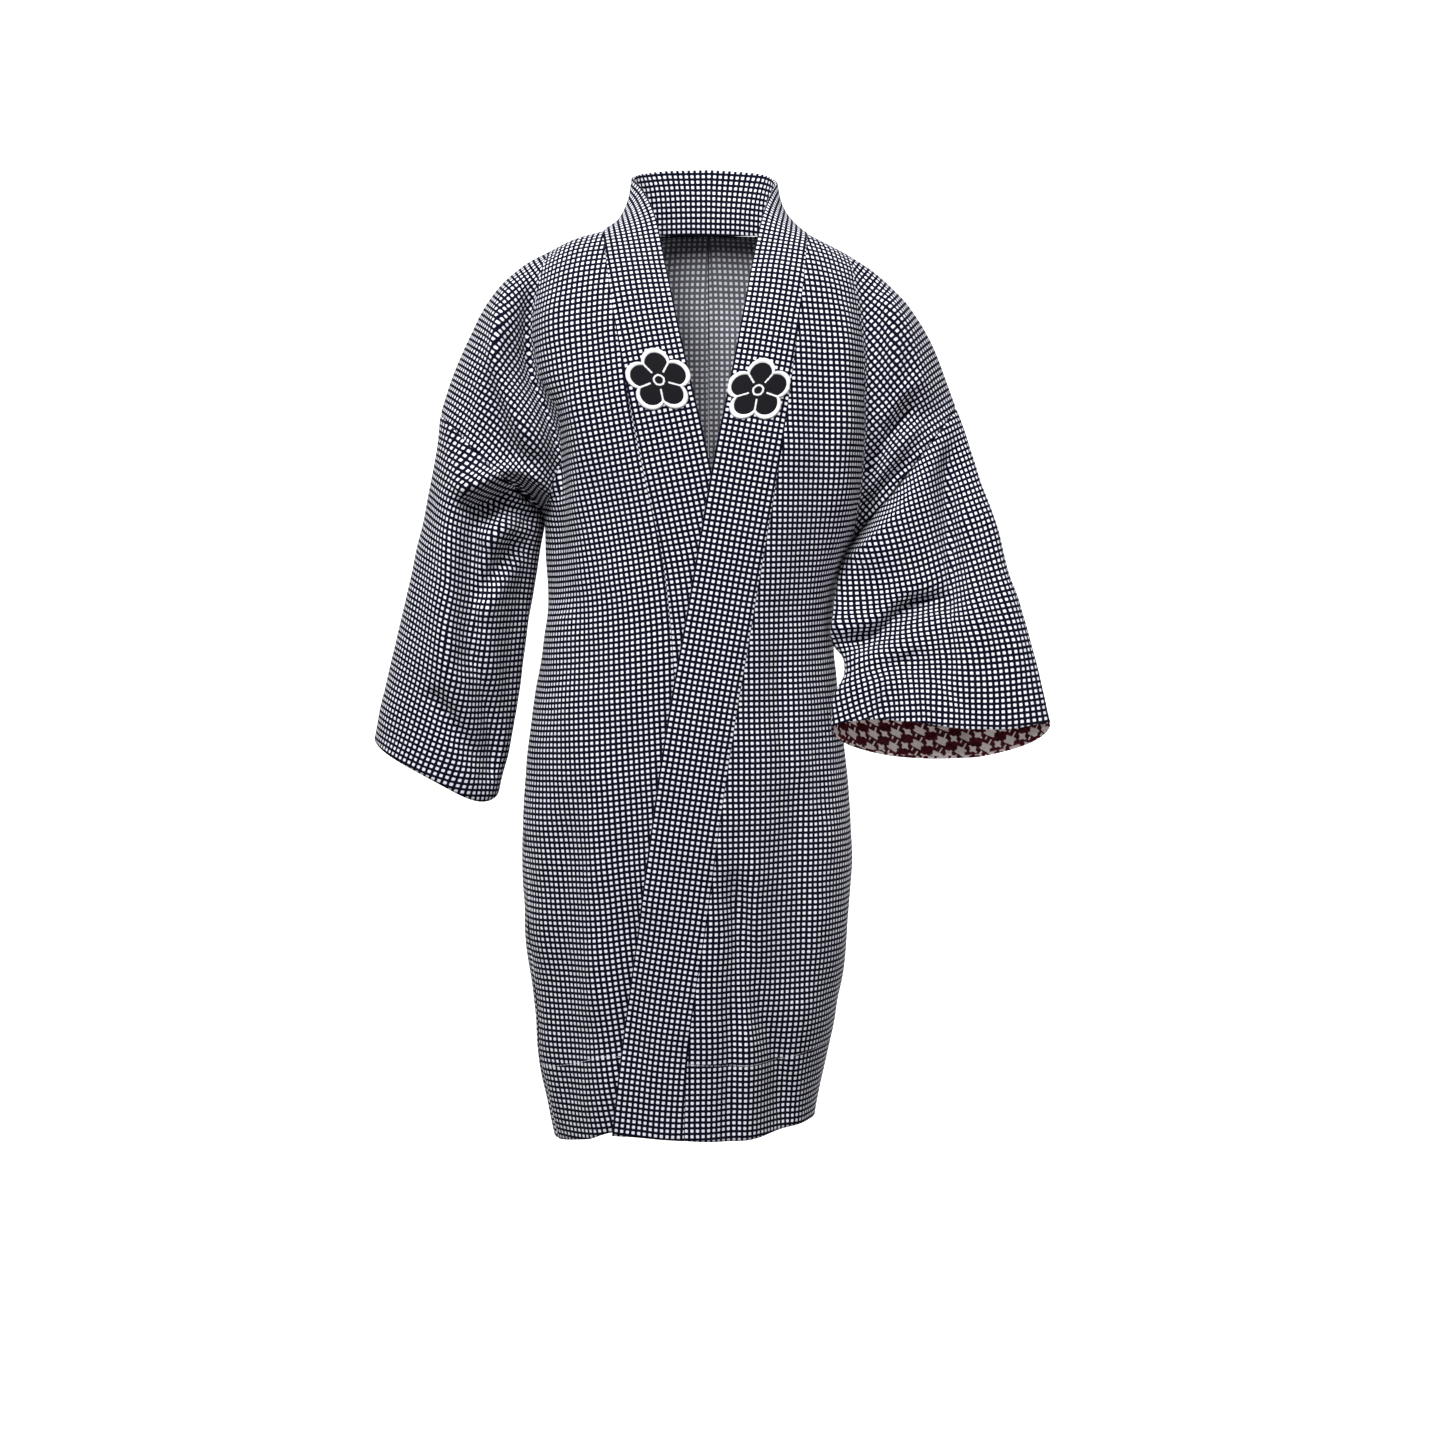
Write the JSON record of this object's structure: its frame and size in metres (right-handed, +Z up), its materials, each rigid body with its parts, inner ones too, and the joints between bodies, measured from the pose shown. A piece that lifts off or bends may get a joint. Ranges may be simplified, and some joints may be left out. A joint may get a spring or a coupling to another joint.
{
  "type": "child's kimono coat",
  "caption": "Knee-length wrap-front cotton coat with wide open sleeves and a folded strip collar, held in its worn, hollow shape.",
  "frame": {"origin": "base of the neck, between the shoulder lines, where the wearer's shoulders carry the coat", "axes": "+Z up, the front faces -Y, the wearer's left is at +X"},
  "size_m": [0.561, 0.2191, 0.8046],
  "materials": {
    "checked_cotton": "plain woven cotton, navy lines on white",
    "lining_cotton": "thin printed cotton, maroon and grey",
    "patch_cotton": "black cloth with a white rim"
  },
  "bodies": {
    "root": {"body_right": "checked_cotton", "body_left": "checked_cotton", "sleeve_right": "checked_cotton", "sleeve_left": "checked_cotton", "collar": "checked_cotton", "sleeve_lining_left": "lining_cotton", "patch_right": "patch_cotton", "patch_left": "patch_cotton"}
  },
  "joints": []
}
